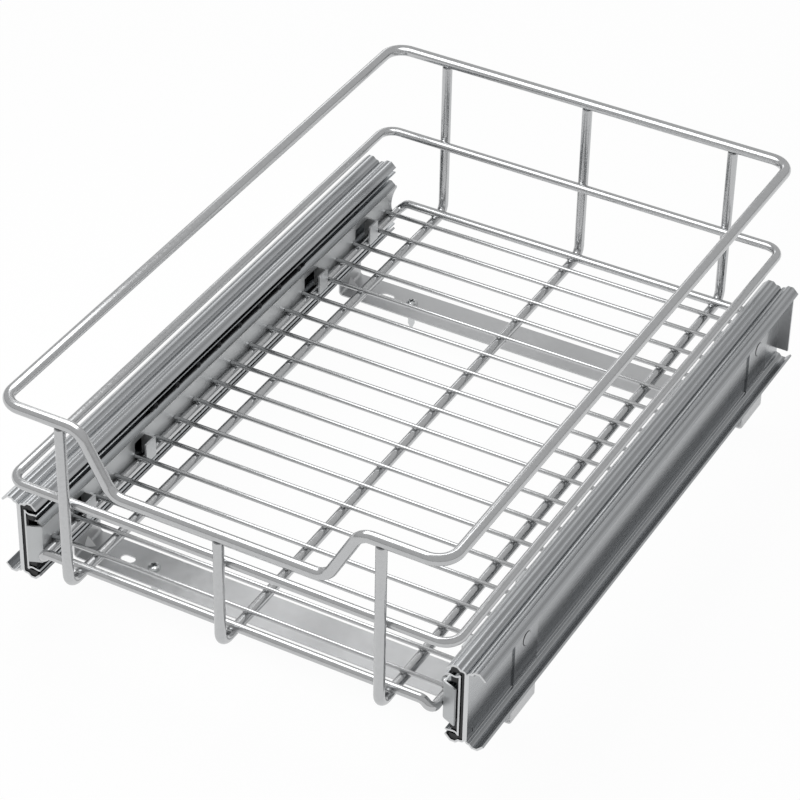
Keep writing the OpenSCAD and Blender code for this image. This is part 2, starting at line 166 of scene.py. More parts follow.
def linear(hex_colour):
    """Linear red, green and blue of an sRGB hex colour such as B4B6B8."""
    channels = [int(hex_colour[i : i + 2], 16) / 255 for i in (0, 2, 4)]
    return tuple(
        c / 12.92 if c <= 0.04045 else ((c + 0.055) / 1.055) ** 2.4 for c in channels
    )


# ---- What a user would change ----


def length(name, description, millimetres):
    """A length property in metres, with its default given in millimetres."""
    return FloatProperty(
        name=name,
        description=description,
        default=millimetres * MM,
        min=0.0,
        unit="LENGTH",
        subtype="DISTANCE",
    )


def colour(name, description, hex_colour):
    """A colour property with its default given as sRGB hex."""
    return FloatVectorProperty(
        name=name,
        description=description,
        default=linear(hex_colour),
        min=0.0,
        max=1.0,
        size=3,
        subtype="COLOR",
    )


class BasketWires(bpy.types.PropertyGroup):
    """Wire diameters and bends of the basket."""

    rim_d: length("Rim wire", "Diameter of the top rim's wire", 5.8)
    upright_d: length("U-wire", "Diameter of the three U-shaped wires", 5.4)
    ring_d: length("Ring wire", "Diameter of the middle and the bottom ring's wire", 4.8)
    floor_d: length("Floor wire", "Diameter of the thin floor wires", 2.4)
    floor_count: IntProperty(
        name="Floor wires", description="Number of thin floor wires", default=19, min=2
    )
    rim_bend: length("Rim corner", "Bend radius of the rim's corners", 10.5)
    dip_bend: length("Dip bend", "Bend radius of the hand dip's four bends", 10)
    dip_top: length("Dip width at the top", "Half width of the hand dip at the rim", 73.5)
    dip_low: length("Dip width below", "Half width of the hand dip's low run", 56.3)
    ring_bend: length("Ring corner", "Bend radius of the middle ring's corners", 8.5)
    foot_bend: length("U-wire bend", "Bend radius at the foot of the U-wires", 7)
    step_bend: length("Step bend", "Bend radius of the bottom ring's steps and corners", 4)


class BasketFinishes(bpy.types.PropertyGroup):
    """Colours of the finishes."""

    wire: colour("Wire", "Nickel-chrome plated wire", "BCBDBE")
    channel: colour("Channel", "Rolled and zinc plated channel", "ABADAF")
    member: colour("Member", "Zinc plated inner slide members", "A6A9AB")
    plate: colour("Plate", "Satin zinc plated carrier plates", "BEC0C1")
    bracket: colour("Bracket", "Satin zinc plated brackets", "C4C5C6")
    # The bracket ends' colour is a little darker than the channels': painted shade.
    upright: colour("Bracket end", "Zinc plated upright ends of the brackets", "A1A3A5")
    # The cut edge's colour is paler than the channels': painted light for the bright sheared
    # ends.
    cut: colour("Cut edge", "Sheared edge of a rolled section", "D4D5D6")
    screw: colour("Screw", "Bright zinc plated screws", "C9CBCC")
    ball: colour("Ball", "Steel balls under a film of dark grease", "2C2D2F")
    cage: colour("Cage", "Greased ball cage", "1D1E20")
    plastic: colour("Plastic", "Moulded black stops", "161719")


class BasketStage(bpy.types.PropertyGroup):
    """The camera's place and the studio's light."""

    azimuth: FloatProperty(
        name="Azimuth",
        description="Turn of the camera from straight in front towards the right",
        default=math.radians(28.330),
        subtype="ANGLE",
    )
    elevation: FloatProperty(
        name="Elevation",
        description="Height of the camera above the horizon",
        default=math.radians(36.746),
        subtype="ANGLE",
    )
    roll: FloatProperty(
        name="Roll",
        description="Turn of the camera about its view",
        default=math.radians(1.198),
        subtype="ANGLE",
    )
    distance: length("Distance", "Distance from the camera to the aim point", 1600)
    aim: FloatVectorProperty(
        name="Aim point",
        description="Point that the camera looks at",
        default=(-17.55 * MM, -0.25 * MM, 44.40 * MM),
        size=3,
        subtype="TRANSLATION",
        unit="LENGTH",
    )
    lens: FloatProperty(
        name="Lens",
        description="Focal length on a 36 mm sensor",
        default=141.71,
        min=1.0,
        unit="CAMERA",
    )
    floor: colour("Floor", "Plain pale floor", "F4F4F4")


# ---- Materials ----


def add_node(tree, kind, inputs=None, **settings):
    """Adds a node; inputs maps a socket to a value or to the output that feeds it."""
    node = tree.nodes.new(kind)
    for name, value in settings.items():
        setattr(node, name, value)
    for socket, value in (inputs or {}).items():
        if isinstance(value, bpy.types.NodeSocket):
            tree.links.new(value, node.inputs[socket])
        else:
            node.inputs[socket].default_value = value
    return node


def new_material(name, shader_inputs):
    """A material with one principled shader; returns it with its tree and shader."""
    material = bpy.data.materials.new(name)
    material.use_nodes = True
    tree = material.node_tree
    shader = tree.nodes["Principled BSDF"]
    for socket, value in shader_inputs.items():
        shader.inputs[socket].default_value = value
    return material, tree, shader


def pattern_space(tree, size, length=None):
    """Object coordinates in repeats of a pattern of that size in millimetres; a length gives
    it another size along the slides."""
    place = add_node(tree, "ShaderNodeTexCoord")
    scale = [1 / (repeat * MM) for repeat in (size, length or size, size)]
    mapping = add_node(
        tree, "ShaderNodeMapping", {"Vector": place.outputs["Object"], "Scale": scale}
    )
    return mapping.outputs["Vector"]


def shade(base, share):
    """A colour scaled by a share, with alpha."""
    return (*(min(1.0, c * share) for c in base), 1.0)


def varied(tree, pattern, base, darkest, palest):
    """A colour that a pattern turns darker and paler, between two shares of it."""
    inputs = {
        MIX_FACTOR: pattern.outputs["Fac"],
        MIX_FIRST: shade(base, darkest),
        MIX_SECOND: shade(base, palest),
    }
    mix = add_node(tree, "ShaderNodeMix", inputs, data_type="RGBA")
    return mix.outputs[MIX_RESULT]


def plated_wire(base):
    """Nickel-chrome plated drawn wire: an even soft gloss, with faint drawing lines and a slight
    cloudiness in the plate, so highlights run along the wire with a soft edge."""
    material, tree, shader = new_material(
        "Nickel-chrome plated wire", {"Metallic": 1.0, "Roughness": 0.2}
    )
    cloud = add_node(
        tree,
        "ShaderNodeTexNoise",
        {"Vector": pattern_space(tree, WIRE_CLOUD), "Detail": 3.0},
    )
    colours = varied(tree, cloud, base, darkest=0.9, palest=1.08)
    tree.links.new(colours, shader.inputs["Base Color"])
    rough = add_node(
        tree,
        "ShaderNodeMapRange",
        {
            "Value": cloud.outputs["Fac"],
            "From Min": 0.3,
            "From Max": 0.7,
            "To Min": 0.16,
            "To Max": 0.24,
        },
    )
    tree.links.new(rough.outputs["Result"], shader.inputs["Roughness"])
    grain = add_node(
        tree,
        "ShaderNodeTexNoise",
        {"Vector": pattern_space(tree, WIRE_GRAIN), "Detail": 2.0},
    )
    bump = add_node(
        tree,
        "ShaderNodeBump",
        {"Height": grain.outputs["Fac"], "Strength": 0.05, "Distance": METAL_GRAIN_DEPTH},
    )
    tree.links.new(bump.outputs["Normal"], shader.inputs["Normal"])
    return material


def rolled_steel(name, base, cut, roughness):
    """Roll-formed, zinc plated steel: shallow ribs along the tops and the bottoms, each painted
    with a pair of a pale and a dark line, a painted highlight and painted shade; fine lines from
    the rolls, slightly uneven plate, and sheared ends that are duller than the faces and painted
    paler, painted light for the light that the ends catch."""
    material, tree, shader = new_material(name, {"Metallic": 1.0, "Roughness": roughness})
    lines = add_node(
        tree,
        "ShaderNodeTexNoise",
        {
            "Vector": pattern_space(tree, ROLL_LINE, ROLL_LINE_LENGTH),
            "Detail": 4.0,
            "Roughness": 0.6,
        },
    )
    cloud = add_node(
        tree,
        "ShaderNodeTexNoise",
        {"Vector": pattern_space(tree, ZINC_CLOUD, ZINC_CLOUD_LENGTH), "Detail": 3.0},
    )
    lined = varied(tree, lines, base, darkest=0.84, palest=1.14)
    clouded = varied(tree, cloud, base, darkest=0.9, palest=1.1)
    even = add_node(
        tree,
        "ShaderNodeMix",
        {MIX_FACTOR: 0.45, MIX_FIRST: lined, MIX_SECOND: clouded},
        data_type="RGBA",
    )
    place = add_node(tree, "ShaderNodeTexCoord")
    direction = add_node(
        tree, "ShaderNodeSeparateXYZ", {"Vector": place.outputs["Normal"]}
    )
    level = add_node(
        tree, "ShaderNodeMath", {0: direction.outputs["Z"]}, operation="ABSOLUTE"
    )
    # The ribs' bands bump the level faces and paint each rib with a pale and a dark line: painted
    # highlights and painted shade.
    ribs = add_node(
        tree,
        "ShaderNodeTexWave",
        {
            "Vector": pattern_space(tree, RIB_PITCH),
            "Scale": BAND_SCALE,
            "Phase Offset": math.pi,
        },
        bands_direction="X",
    )
    faces = add_node(
        tree,
        "ShaderNodeMix",
        {
            MIX_FACTOR: level.outputs["Value"],
            MIX_FIRST: even.outputs[MIX_RESULT],
            MIX_SECOND: varied(tree, ribs, base, darkest=0.74, palest=1.28),
        },
        data_type="RGBA",
    )
    along = add_node(
        tree, "ShaderNodeMath", {0: direction.outputs["Y"]}, operation="ABSOLUTE"
    )
    sheared = add_node(
        tree,
        "ShaderNodeMath",
        {0: along.outputs["Value"], 1: SHEARED_FACING},
        operation="GREATER_THAN",
    )
    # Sheared ends take the paler cut colour, which is painted light; their extra roughness is
    # real.
    colours = add_node(
        tree,
        "ShaderNodeMix",
        {
            MIX_FACTOR: sheared.outputs["Value"],
            MIX_FIRST: faces.outputs[MIX_RESULT],
            MIX_SECOND: shade(cut, 1.0),
        },
        data_type="RGBA",
    )
    tree.links.new(colours.outputs[MIX_RESULT], shader.inputs["Base Color"])
    rough = add_node(
        tree,
        "ShaderNodeMapRange",
        {
            "Value": lines.outputs["Fac"],
            "From Min": 0.25,
            "From Max": 0.75,
            "To Min": roughness - 0.06,
            "To Max": roughness + 0.1,
        },
    )
    duller = add_node(
        tree,
        "ShaderNodeMath",
        {0: sheared.outputs["Value"], 1: SHEARED_DULLNESS, 2: rough.outputs["Result"]},
        operation="MULTIPLY_ADD",
    )
    tree.links.new(duller.outputs["Value"], shader.inputs["Roughness"])
    bump = add_node(
        tree,
        "ShaderNodeBump",
        {
            "Height": ribs.outputs["Fac"],
            "Strength": level.outputs["Value"],
            "Distance": RIB_DEPTH,
        },
    )
    tree.links.new(bump.outputs["Normal"], shader.inputs["Normal"])
    return material


def satin_sheet(name, base, upright=None, upright_x=0.0, upright_z=0.0):
    """Satin zinc plated sheet: a fine matt grain with a soft, cloudy sheen. Beyond upright_x from
    the middle and above upright_z, a bracket's ends have the channels' gloss and a colour a
    little darker than the channels', which is painted shade."""
    material, tree, shader = new_material(
        name, {"Metallic": SATIN_METALLIC, "Roughness": 0.4}
    )
    cloud = add_node(
        tree,
        "ShaderNodeTexNoise",
        {"Vector": pattern_space(tree, SATIN_CLOUD), "Detail": 4.0},
    )
    grain = add_node(
        tree,
        "ShaderNodeTexNoise",
        {"Vector": pattern_space(tree, SATIN_GRAIN), "Detail": 2.0},
    )
    clouds = varied(tree, cloud, base, darkest=0.88, palest=1.1)
    grains = varied(tree, grain, base, darkest=0.92, palest=1.08)
    colours = add_node(
        tree,
        "ShaderNodeMix",
        {MIX_FACTOR: 0.4, MIX_FIRST: clouds, MIX_SECOND: grains},
        data_type="RGBA",
    ).outputs[MIX_RESULT]
    rough = add_node(
        tree,
        "ShaderNodeMapRange",
        {
            "Value": cloud.outputs["Fac"],
            "From Min": 0.3,
            "From Max": 0.7,
            "To Min": 0.36,
            "To Max": 0.46,
        },
    ).outputs["Result"]
    if upright:
        glossy = upright_ends(tree, upright_x, upright_z)
        # The upright ends' darker colour is painted shade.
        colours = add_node(
            tree,
            "ShaderNodeMix",
            {MIX_FACTOR: glossy, MIX_FIRST: colours, MIX_SECOND: shade(upright, 1.0)},
            data_type="RGBA",
        ).outputs[MIX_RESULT]
        rough = add_node(
            tree, "ShaderNodeMix", {"Factor": glossy, "A": rough, "B": CHANNEL_ROUGHNESS}
        ).outputs["Result"]
        metallic = add_node(
            tree, "ShaderNodeMix", {"Factor": glossy, "A": SATIN_METALLIC, "B": 1.0}
        )
        tree.links.new(metallic.outputs["Result"], shader.inputs["Metallic"])
    tree.links.new(colours, shader.inputs["Base Color"])
    tree.links.new(rough, shader.inputs["Roughness"])
    bump = add_node(
        tree,
        "ShaderNodeBump",
        {"Height": grain.outputs["Fac"], "Strength": 0.15, "Distance": METAL_GRAIN_DEPTH},
    )
    tree.links.new(bump.outputs["Normal"], shader.inputs["Normal"])
    return material


def upright_ends(tree, upright_x, upright_z):
    """1 on a bracket's two upright ends, and 0 on the rest of it."""
    place = add_node(tree, "ShaderNodeTexCoord")
    point = add_node(tree, "ShaderNodeSeparateXYZ", {"Vector": place.outputs["Object"]})
    reach = add_node(
        tree, "ShaderNodeMath", {0: point.outputs["X"]}, operation="ABSOLUTE"
    )
    beyond = add_node(
        tree,
        "ShaderNodeMath",
        {0: reach.outputs["Value"], 1: upright_x},
        operation="GREATER_THAN",
    )
    above = add_node(
        tree,
        "ShaderNodeMath",
        {0: point.outputs["Z"], 1: upright_z},
        operation="GREATER_THAN",
    )
    both = add_node(
        tree,
        "ShaderNodeMath",
        {0: beyond.outputs["Value"], 1: above.outputs["Value"]},
        operation="MULTIPLY",
    )
    return both.outputs["Value"]


def greased_steel(base):
    """Cold-rolled steel strip under a film of dark grease: wet in places, dull in others."""
    material, tree, shader = new_material(
        "Greased steel strip", {"Metallic": 0.6, "Roughness": 0.45}
    )
    film = add_node(
        tree,
        "ShaderNodeTexNoise",
        {"Vector": pattern_space(tree, GREASE_FILM), "Detail": 5.0},
    )
    colours = varied(tree, film, base, darkest=0.6, palest=1.6)
    tree.links.new(colours, shader.inputs["Base Color"])
    rough = add_node(
        tree,
        "ShaderNodeMapRange",
        {
            "Value": film.outputs["Fac"],
            "From Min": 0.35,
            "From Max": 0.65,
            "To Min": 0.25,
            "To Max": 0.6,
        },
    )
    tree.links.new(rough.outputs["Result"], shader.inputs["Roughness"])
    return material


def polished_steel(name, base, roughness):
    """Ground and polished steel: a sharp gloss with barely visible hairlines."""
    material, tree, shader = new_material(name, {"Metallic": 1.0, "Roughness": roughness})
    hair = add_node(
        tree,
        "ShaderNodeTexNoise",
        {"Vector": pattern_space(tree, HAIRLINE), "Detail": 4.0},
    )
    colours = varied(tree, hair, base, darkest=0.9, palest=1.06)
    tree.links.new(colours, shader.inputs["Base Color"])
    rough = add_node(
        tree,
        "ShaderNodeMapRange",
        {
            "Value": hair.outputs["Fac"],
            "From Min": 0.3,
            "From Max": 0.7,
            "To Min": roughness * 0.7,
            "To Max": roughness * 1.5,
        },
    )
    tree.links.new(rough.outputs["Result"], shader.inputs["Roughness"])
    return material


def moulded_plastic(base):
    """Injection-moulded acetal with a fine spark-eroded grain: near black, a broad dull sheen."""
    material, tree, shader = new_material(
        "Moulded black acetal", {"Metallic": 0.0, "Roughness": 0.48, "IOR": 1.48}
    )
    grain = add_node(
        tree,
        "ShaderNodeTexNoise",
        {"Vector": pattern_space(tree, SPARK_GRAIN), "Detail": 2.0},
    )
    colours = varied(tree, grain, base, darkest=0.8, palest=1.3)
    tree.links.new(colours, shader.inputs["Base Color"])
    bump = add_node(
        tree,
        "ShaderNodeBump",
        {"Height": grain.outputs["Fac"], "Strength": 0.3, "Distance": PLASTIC_GRAIN_DEPTH},
    )
    tree.links.new(bump.outputs["Normal"], shader.inputs["Normal"])
    return material


_finishes = {}


def finish_of(name):
    """The material for a slot of the record, made the first time that it is asked for."""
    if name not in _finishes:
        finishes = bpy.context.scene.basket_finishes
        makers = {
            "bright_wire": lambda: plated_wire(finishes.wire),
            "zinc_channel": lambda: rolled_steel(
                "Rolled zinc plated channel", finishes.channel, finishes.cut, CHANNEL_ROUGHNESS
            ),
            "zinc_member": lambda: rolled_steel(
                "Rolled zinc plated member", finishes.member, finishes.cut, MEMBER_ROUGHNESS
            ),
            "satin_plate": lambda: satin_sheet("Satin zinc plated sheet", finishes.plate),
            "satin_bracket": lambda: satin_sheet(
                "Satin zinc plated strip",
                finishes.bracket,
                finishes.upright,
                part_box("front_bracket")[1].x - UPRIGHT_DEPTH,
                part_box("left_spacer_channel")[0].z,
            ),
            "cage_steel": lambda: greased_steel(finishes.cage),
            "ball_steel": lambda: polished_steel(
                "Greased balls", finishes.ball, roughness=0.35
            ),
            "black_plastic": lambda: moulded_plastic(finishes.plastic),
            "screw_steel": lambda: polished_steel(
                "Bright zinc screw", finishes.screw, roughness=0.2
            ),
        }
        _finishes[name] = makers[name]()
    return _finishes[name]


def dress(node_name):
    """Gives a CAD node the finish of its own slot."""
    node = frame["nodes"][node_name]
    for slot in node.material_slots:
        slot.link = "OBJECT"
        slot.material = finish_of(SLOTS[node_name])


def ease_edges(node_name, radius):
    """Takes the sharpness off a sheet part's edges, so that they catch a line of light."""
    edge = frame["nodes"][node_name].modifiers.new("Eased edges", "BEVEL")
    edge.width = radius
    edge.segments = 2
    edge.limit_method = "ANGLE"
    edge.angle_limit = EASED_ANGLE
    edge.harden_normals = True


# ---- Making pieces ----


def piece_from(bm, name, slot, body):
    """Turns a bmesh into a piece that rides on a body, with smooth faces and sharp edges."""
    bmesh.ops.recalc_face_normals(bm, faces=bm.faces)
    mesh = bpy.data.meshes.new(name)
    bm.to_mesh(mesh)
    bm.free()
    mesh.polygons.foreach_set("use_smooth", [True] * len(mesh.polygons))
    mesh.set_sharp_from_angle(angle=SHARP_ANGLE)
    piece = bpy.data.objects.new(name, mesh)
    bpy.context.scene.collection.objects.link(piece)
    mesh.materials.append(finish_of(slot))
    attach(piece, body)
    return piece


def bend_reach(before, corner, after, radius):
    """Distance from a corner to where its bend begins."""
    turn = (before - corner).angle(after - corner)
    return radius / math.tan(turn / 2)


def lay_wire(bm, points, radii, diameter, closed, sides=24):
    """Lays a round wire along straight runs and bends; radii gives the bend at each corner."""
    count = len(points)
    points = [Vector(p) for p in points]
    reach = [
        bend_reach(points[i - 1], points[i], points[(i + 1) % count], radii[i])
        if radii[i]
        else 0.0
        for i in range(count)
    ]
    first = (points[1] - points[0]).normalized()
    start = points[0] + first * reach[0]
    turn = first.to_track_quat("Z", "X").to_matrix().to_4x4()
    ring = bmesh.ops.create_circle(
        bm,
        cap_ends=False,
        radius=diameter / 2,
        segments=sides,
        matrix=Matrix.Translation(start) @ turn,
    )["verts"]
    first_ring = list(ring)
    edges = ring_edges(ring)
    runs = count if closed else count - 1
    for i in range(runs):
        j = (i + 1) % count
        direction = (points[j] - points[i]).normalized()
        run = (points[j] - points[i]).length - reach[i] - reach[j]
        made = bmesh.ops.extrude_edge_only(bm, edges=edges)["geom"]
        ring = [v for v in made if isinstance(v, bmesh.types.BMVert)]
        bmesh.ops.translate(bm, verts=ring, vec=direction * run)
        edges = ring_edges(ring)
        if reach[j]:
            onward = (points[(j + 1) % count] - points[j]).normalized()
            angle = direction.angle(onward)
            axis = direction.cross(onward).normalized()
            bend_start = points[j] - direction * reach[j]
            centre = bend_start + axis.cross(direction) * radii[j]
            steps = max(FEWEST_BEND_STEPS, round(math.degrees(angle) / BEND_STEP))
            made = bmesh.ops.spin(
                bm,
                geom=ring + edges,
                cent=centre,
                axis=axis,
                dvec=(0, 0, 0),
                angle=angle,
                steps=steps,
                use_merge=False,
                use_normal_flip=False,
                use_duplicate=False,
            )["geom_last"]
            ring = [v for v in made if isinstance(v, bmesh.types.BMVert)]
            edges = ring_edges(ring)
    if closed:
        bmesh.ops.remove_doubles(bm, verts=first_ring + ring, dist=MERGE_DISTANCE)
    else:
        for end in (first_ring, ring):
            cap_wire(bm, ring_edges(end), diameter)


def ring_edges(ring):
    """The edges that run round a ring of verts."""
    members = set(ring)
    return list(
        {e for v in ring for e in v.link_edges if all(u in members for u in e.verts)}
    )


def cap_wire(bm, edges, diameter):
    """Closes a cut end and takes its burr off."""
    cap = bmesh.ops.contextual_create(bm, geom=edges)["faces"]
    bmesh.ops.bevel(
        bm,
        geom=[e for f in cap for e in f.edges],
        offset=diameter * BURR_SHARE,
        offset_type="OFFSET",
        segments=2,
        profile=0.5,
        affect="EDGES",
        material=-1,
    )


def level_loop(lo, hi, radius, z):
    """Corners of a level rectangle of wire whose outer faces reach lo and hi."""
    left, right = lo.x + radius, hi.x - radius
    front, back = lo.y + radius, hi.y - radius
    return [(right, back, z), (left, back, z), (left, front, z), (right, front, z)]


def make_rim(wires):
    """The top rim with its hand dip."""
    lo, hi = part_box("top_rim")
    radius = wires.rim_d / 2
    high, low = hi.z - radius, lo.z + radius
    right_back, left_back, left_front, right_front = level_loop(lo, hi, radius, high)
    front = left_front[1]
    points = [
        right_back,
        left_back,
        left_front,
        (-wires.dip_top, front, high),
        (-wires.dip_low, front, low),
        (wires.dip_low, front, low),
        (wires.dip_top, front, high),
        right_front,
    ]
    corner, dip = wires.rim_bend, wires.dip_bend
    radii = [corner] * 3 + [dip] * 4 + [corner]
    bm = bmesh.new()
    lay_wire(bm, points, radii, wires.rim_d, closed=True, sides=32)
    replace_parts(piece_from(bm, "rim_wire", "bright_wire", "basket"), "top_rim")


def make_middle_ring(wires):
    """The level ring halfway up the basket."""
    lo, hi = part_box("middle_ring")
    radius = wires.ring_d / 2
    points = level_loop(lo, hi, radius, (lo.z + hi.z) / 2)
    bm = bmesh.new()
    lay_wire(bm, points, [wires.ring_bend] * 4, wires.ring_d, closed=True, sides=28)
    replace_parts(piece_from(bm, "middle_ring_wire", "bright_wire", "basket"), "middle_ring")


def make_bottom_ring(wires):
    """The bottom ring, which slopes down to the side wires at its corners."""
    lo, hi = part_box("bottom_ring")
    radius = wires.ring_d / 2
    low, high = lo.z + radius, hi.z - radius
    side = hi.x - radius
    inner = side - (high - low)
    row = [(-side, low), (-inner, high), (inner, high), (side, low)]
    front = [(x, lo.y + radius, z) for x, z in row]
    back = [(x, hi.y - radius, z) for x, z in reversed(row)]
    bm = bmesh.new()
    radii = [wires.step_bend] * (len(front) + len(back))
    lay_wire(bm, front + back, radii, wires.ring_d, closed=True, sides=28)
    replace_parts(piece_from(bm, "bottom_ring_wire", "bright_wire", "basket"), "bottom_ring")


def make_uprights(wires):
    """The three U-shaped wires, from the rim down, under the floor and up again."""
    radius = wires.upright_d / 2
    rim_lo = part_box("top_rim")[0].z + WELD_DEPTH
    for name in U_WIRES:
        lo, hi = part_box(name)
        x = (lo.x + hi.x) / 2
        front, back = lo.y + radius, hi.y - radius
        foot = lo.z + radius
        front_top = rim_lo if name == "centre_u_wire" else hi.z
        points = [(x, front, front_top), (x, front, foot), (x, back, foot), (x, back, hi.z)]
        bm = bmesh.new()
        bend = wires.foot_bend
        lay_wire(bm, points, [0, bend, bend, 0], wires.upright_d, closed=False, sides=28)
        piece = piece_from(bm, name.replace("_u_wire", "_upright"), "bright_wire", "basket")
        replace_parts(piece, name)


def floor_rows(wires):
    """The y of each thin floor wire."""
    lo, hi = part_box("floor_cross_wires")
    first, last = lo.y + wires.floor_d / 2, hi.y - wires.floor_d / 2
    gaps = wires.floor_count - 1
    return [first + (last - first) * i / gaps for i in range(wires.floor_count)]


def make_floor_wires(wires):
    """The thin wires that goods stand on."""
    lo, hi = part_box("floor_cross_wires")
    z = (lo.z + hi.z) / 2
    bm = bmesh.new()
    for y in floor_rows(wires):
        lay_wire(bm, [(lo.x, y, z), (hi.x, y, z)], [0, 0], wires.floor_d, False, sides=20)
    piece = piece_from(bm, "floor_wires", "bright_wire", "basket")
    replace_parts(piece, "floor_cross_wires")


def weld_bead(bm, centre, shares, radius):
    """A small swelling of metal squeezed out of a weld; shares are of the wire's radius."""
    scale = Matrix.Diagonal((*(radius * share for share in shares), 1.0))
    bmesh.ops.create_icosphere(
        bm, subdivisions=2, radius=1.0, matrix=Matrix.Translation(centre) @ scale
    )


def make_weld_beads(wires):
    """Beads where the wires cross: floor wires on the U-wires and on the side wires, and the
    U-wires on the two rings."""
    bm = bmesh.new()
    floor_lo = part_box("floor_cross_wires")[0].z
    side_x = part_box("bottom_ring")[1].x - wires.ring_d / 2
    thin = wires.floor_d / 2
    upright_x = [sum(corner.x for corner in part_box(name)) / 2 for name in U_WIRES]
    for y in floor_rows(wires):
        for x in upright_x + [-side_x, side_x]:
            weld_bead(bm, (x, y, floor_lo + WELD_DEPTH), FLOOR_BEAD, thin)
    piece_from(bm, "floor_weld_beads", "bright_wire", "basket")

    bm = bmesh.new()
    thick = wires.upright_d / 2
    ring_radius = wires.ring_d / 2
    lo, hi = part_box("middle_ring")
    for x in upright_x:
        for y in (lo.y, hi.y):
            weld_bead(bm, (x, y, hi.z - ring_radius), SIDE_BEAD, thick)
    lo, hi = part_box("bottom_ring")
    for x in upright_x:
        for y in (lo.y + ring_radius, hi.y - ring_radius):
            weld_bead(bm, (x, y, hi.z - wires.ring_d), FOOT_BEAD, thick)
    piece_from(bm, "ring_weld_beads", "bright_wire", "basket")


class BASKET_OT_wires(bpy.types.Operator):
    """Bend the basket's wires and weld them where they cross"""

    bl_idname = "basket.wires"
    bl_label = "Wires"

    def execute(self, context):
        wires = context.scene.basket_wires
        make_rim(wires)
        make_middle_ring(wires)
        make_bottom_ring(wires)
        make_uprights(wires)
        make_floor_wires(wires)
        make_weld_beads(wires)
        return {"FINISHED"}


class BASKET_OT_slides(bpy.types.Operator):
    """Finish the two ball-bearing slides and their spacer channels"""

    bl_idname = "basket.slides"
    bl_label = "Slides"

    def execute(self, context):
        for side in SIDES:
            for part in ROLLED_PARTS:
                dress(f"{side}_{part}")
                ease_edges(f"{side}_{part}", RAIL_EASE)
            for part in FITTED_PARTS:
                dress(f"{side}_{part}")
            dress(f"{side}_carrier_plate")
            ease_edges(f"{side}_carrier_plate", PLATE_EASE)
        return {"FINISHED"}


def make_rivet_shade_rings():
    """A dark ring round each rivet's head, in the ball cages' dark finish: painted shade where
    the head meets the bracket.
    """
    lo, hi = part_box("bracket_rivets")
    radius = (hi.z - lo.z) / 2
    profile = Matrix.Rotation(math.pi / 2, 4, "X")
    bm = bmesh.new()
    for x in (lo.x + RIVET_HEAD, hi.x - RIVET_HEAD):
        for y in (lo.y + radius, hi.y - radius):
            centre = Vector((x, y, lo.z + radius))
            top = Matrix.Translation(centre + Vector((0, 0, radius)))
            ring = bmesh.ops.create_circle(
                bm, cap_ends=False, radius=SHADE_RING_RADIUS, segments=8, matrix=top @ profile
            )["verts"]
            bmesh.ops.spin(
                bm,
                geom=ring + ring_edges(ring),
                cent=centre,
                axis=(1, 0, 0),
                dvec=(0, 0, 0),
                angle=math.tau,
                steps=40,
                use_merge=True,
                use_normal_flip=False,
                use_duplicate=False,
            )
    piece_from(bm, "rivet_shade_rings", "cage_steel", "frame")


class BASKET_OT_brackets(bpy.types.Operator):
    """Finish the cross brackets, their rivets and their wood screws"""

    bl_idname = "basket.brackets"
    bl_label = "Brackets"

    def execute(self, context):
        for part in ("front_bracket", "rear_bracket", "bracket_rivets", "bracket_screws"):
            dress(part)
        make_rivet_shade_rings()
        return {"FINISHED"}


# ---- Stage ----


def aimed(obj, target):
    """Turns an object so that its -Z axis points at the target."""
    direction = Vector(target) - obj.location
    obj.rotation_euler = direction.to_track_quat("-Z", "Y").to_euler()


def soft_box(name, place, target, size, brightness):
    """An area lamp aimed at a point; the white floor's brightness is 1."""
    lamp = bpy.data.lights.new(name, "AREA")
    lamp.shape = "RECTANGLE"
    lamp.size, lamp.size_y = size
    lamp.energy = WHITE_WATTS * brightness * size[0] * size[1]
    obj = bpy.data.objects.new(name, lamp)
    bpy.context.scene.collection.objects.link(obj)
    obj.location = place
    aimed(obj, target)
    obj.visible_camera = False


def make_floor(stage):
    """A wide pale floor under the lowest point of the object."""
    bm = bmesh.new()
    bmesh.ops.create_grid(bm, x_segments=1, y_segments=1, size=FLOOR_HALF_WIDTH)
    bmesh.ops.translate(bm, verts=bm.verts, vec=(0, 0, CAD_BOX[0].z - FLOOR_GAP))
    mesh = bpy.data.meshes.new("stage_floor")
    bm.to_mesh(mesh)
    bm.free()
    floor = bpy.data.objects.new("stage_floor", mesh)
    bpy.context.scene.collection.objects.link(floor)
    material, tree, shader = new_material(
        "Pale studio floor", {"Roughness": 0.9, "Specular IOR Level": 0.0}
    )
    shader.inputs["Base Color"].default_value = (*stage.floor, 1.0)
    path = add_node(tree, "ShaderNodeLightPath")
    seen = seen_rays(tree, path)
    share = add_node(
        tree, "ShaderNodeMath", {0: seen, 1: FLOOR_WHITE}, operation="MULTIPLY"
    )
    white = add_node(tree, "ShaderNodeEmission", {"Strength": 1.0})
    mix = add_node(
        tree,
        "ShaderNodeMixShader",
        {0: share.outputs["Value"], 1: shader.outputs["BSDF"], 2: white.outputs["Emission"]},
    )
    tree.links.new(mix.outputs["Shader"], tree.nodes["Material Output"].inputs["Surface"])
    mesh.materials.append(material)


def seen_rays(tree, path):
    """1 for rays that see the background: camera, glossy and transmission rays."""
    either = add_node(
        tree,
        "ShaderNodeMath",
        {0: path.outputs["Is Camera Ray"], 1: path.outputs["Is Glossy Ray"]},
        operation="MAXIMUM",
    )
    seen = add_node(
        tree,
        "ShaderNodeMath",
        {0: either.outputs["Value"], 1: path.outputs["Is Transmission Ray"]},
        operation="MAXIMUM",
    )
    return seen.outputs["Value"]


